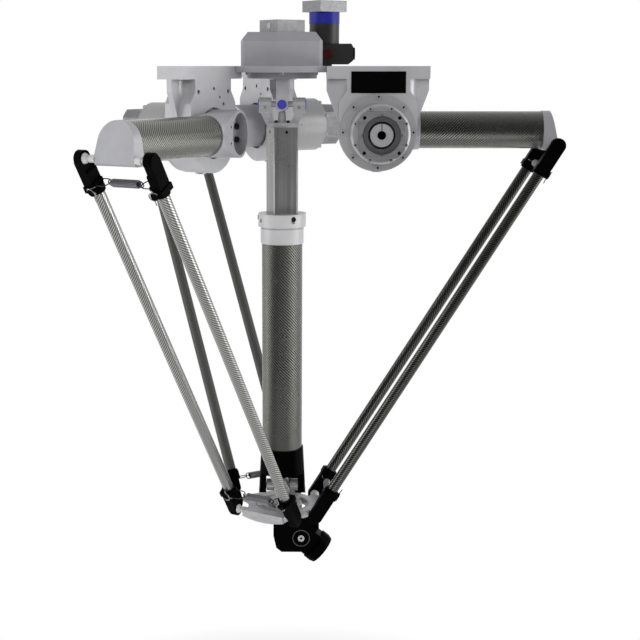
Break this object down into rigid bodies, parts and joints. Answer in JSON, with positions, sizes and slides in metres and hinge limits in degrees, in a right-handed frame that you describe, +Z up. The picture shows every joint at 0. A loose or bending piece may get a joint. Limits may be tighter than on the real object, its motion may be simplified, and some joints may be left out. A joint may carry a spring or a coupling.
{
  "type": "delta robot",
  "caption": "Hanging delta robot: three carbon arms on gearboxes carry a platform, and a telescopic shaft turns and tilts its tool wrist.",
  "frame": {"origin": "on the robot axis, in the mounting plane the robot hangs from", "axes": "+Z up along the robot axis, +X along arm 1, arms 2 and 3 follow at 120 and 240 degrees"},
  "size_m": [0.8906, 1.0278, 1.1569],
  "materials": {
    "black": "moulded, fine grain",
    "black_metal": "black anodised, satin",
    "blue": "blue",
    "carbon": "carbon fibre twill under clear resin",
    "cast": "satin cast, fine grain",
    "dark_metal": "dark grey, satin",
    "machined": "turned",
    "milled": "milled and blasted",
    "red": "dark red",
    "steel": "bright",
    "white": "white polymer, smooth"
  },
  "bodies": {
    "base": {"base_flange": "cast", "bracket_1": "cast", "bracket_2": "cast", "bracket_3": "cast", "gearbox_1": "machined", "gearbox_2": "machined", "gearbox_3": "machined", "motor_adapters": "milled", "nameplate": "black", "base_screws": "steel", "turn_housing": "cast", "angle_gear": "dark_metal", "angle_gear_disc": "red", "angle_gear_cap": "black", "tilt_gearbox": "dark_metal", "tilt_band": "blue"},
    "arm_1": {"arm_hub_1": "cast", "arm_tube_1": "carbon", "elbow_cap_1": "cast", "elbow_balls_1": "white"},
    "arm_2": {"arm_hub_2": "cast", "arm_tube_2": "carbon", "elbow_cap_2": "cast", "elbow_balls_2": "white"},
    "arm_3": {"arm_hub_3": "cast", "arm_tube_3": "carbon", "elbow_cap_3": "cast", "elbow_balls_3": "white"},
    "forearm_1": {"rods_1": "carbon", "sockets_1": "black", "springs_1": "steel", "platform_balls_1": "white"},
    "forearm_2": {"rods_2": "carbon", "sockets_2": "black", "springs_2": "steel", "platform_balls_2": "white"},
    "forearm_3": {"rods_3": "carbon", "sockets_3": "black", "springs_3": "steel", "platform_balls_3": "white"},
    "input_1": {"input_hub_1": "machined"},
    "input_2": {"input_hub_2": "machined"},
    "input_3": {"input_hub_3": "machined"},
    "turn_input": {"turn_hub": "machined"},
    "tilt_input": {"tilt_hub": "machined"},
    "platform": {"platform": "milled", "platform_bearing": "steel"},
    "upper_shaft": {"upper_yoke": "cast", "upper_cross": "machined", "yoke_bushes": "blue", "shaft_yoke": "milled", "sliding_profile": "machined"},
    "lower_shaft": {"shaft_collar": "white", "shaft_tube": "carbon", "lower_fork": "black_metal", "lower_cross": "machined", "wrist_yoke": "machined", "wrist_housing": "black_metal"},
    "tool_head": {"tilt_head": "black_metal", "tool_flange": "black_metal"}
  },
  "joints": [
    {"name": "shoulder_1", "type": "hinge", "parent": "base", "child": "arm_1", "pos_m": [0.184, 0, -0.124], "axis": [0, 1, 0], "range_deg": [-5, 25]},
    {"name": "shoulder_2", "type": "hinge", "parent": "base", "child": "arm_2", "pos_m": [-0.092, 0.15935, -0.124], "axis": [-0.866, -0.5, 0], "range_deg": [-5, 25]},
    {"name": "shoulder_3", "type": "hinge", "parent": "base", "child": "arm_3", "pos_m": [-0.092, -0.15935, -0.124], "axis": [0.866, -0.5, 0], "range_deg": [-5, 25]},
    {"name": "elbow_1", "type": "hinge", "parent": "arm_1", "child": "forearm_1", "pos_m": [0.534, 0, -0.151], "axis": [0, 1, 0], "range_deg": [-28.33, 6.07]},
    {"name": "elbow_2", "type": "hinge", "parent": "arm_2", "child": "forearm_2", "pos_m": [-0.267, 0.46246, -0.151], "axis": [-0.866, -0.5, 0], "range_deg": [-28.33, 6.07]},
    {"name": "elbow_3", "type": "hinge", "parent": "arm_3", "child": "forearm_3", "pos_m": [-0.267, -0.46246, -0.151], "axis": [0.866, -0.5, 0], "range_deg": [-28.33, 6.07]},
    {"name": "input_turn_1", "type": "hinge", "parent": "base", "child": "input_1", "pos_m": [0.184, -0.2, -0.124], "axis": [0, 1, 0], "range_deg": [-105, 505]},
    {"name": "input_turn_2", "type": "hinge", "parent": "base", "child": "input_2", "pos_m": [0.0812, 0.25935, -0.124], "axis": [-0.866, -0.5, 0], "range_deg": [-105, 505]},
    {"name": "input_turn_3", "type": "hinge", "parent": "base", "child": "input_3", "pos_m": [-0.26521, -0.05935, -0.124], "axis": [0.866, -0.5, 0], "range_deg": [-105, 505]},
    {"name": "platform_lift", "type": "slide", "parent": "base", "child": "platform", "axis": [0, 0, 1], "range_m": [-0.1709, 0.0358]},
    {"name": "shaft_turn", "type": "hinge", "parent": "base", "child": "upper_shaft", "pos_m": [0, 0, -0.074], "axis": [0, 0, 1], "continuous": true},
    {"name": "shaft_slide", "type": "slide", "parent": "upper_shaft", "child": "lower_shaft", "axis": [0, 0, 1], "range_m": [-0.1709, 0.0358]},
    {"name": "turn_input", "type": "hinge", "parent": "base", "child": "turn_input", "pos_m": [0, 0, 0.06], "axis": [0, 0, 1], "continuous": true},
    {"name": "wrist_tilt", "type": "hinge", "parent": "lower_shaft", "child": "tool_head", "pos_m": [0.04, 0, -0.96817], "axis": [0, 1, 0], "range_deg": [-35, 50]},
    {"name": "tilt_input", "type": "hinge", "parent": "base", "child": "tilt_input", "pos_m": [0.084, 0.076, 0.1], "axis": [0, 0, 1], "range_deg": [-180, 255]}
  ],
  "couplings": [
    {"joint": "shoulder_2", "follows": "shoulder_1", "ratio": 1},
    {"joint": "shoulder_3", "follows": "shoulder_1", "ratio": 1},
    {"joint": "elbow_1", "follows": "shoulder_1", "ratio": -1.1132},
    {"joint": "elbow_2", "follows": "shoulder_1", "ratio": -1.1132},
    {"joint": "elbow_3", "follows": "shoulder_1", "ratio": -1.1132},
    {"joint": "input_turn_1", "follows": "shoulder_1", "ratio": 20},
    {"joint": "input_turn_2", "follows": "shoulder_1", "ratio": 20},
    {"joint": "input_turn_3", "follows": "shoulder_1", "ratio": 20},
    {"joint": "platform_lift", "follows": "shoulder_1", "m_per_rad": -0.3871},
    {"joint": "shaft_slide", "follows": "shoulder_1", "m_per_rad": -0.3871},
    {"joint": "turn_input", "follows": "shaft_turn", "ratio": -10},
    {"joint": "tilt_input", "follows": "wrist_tilt", "ratio": 5}
  ]
}
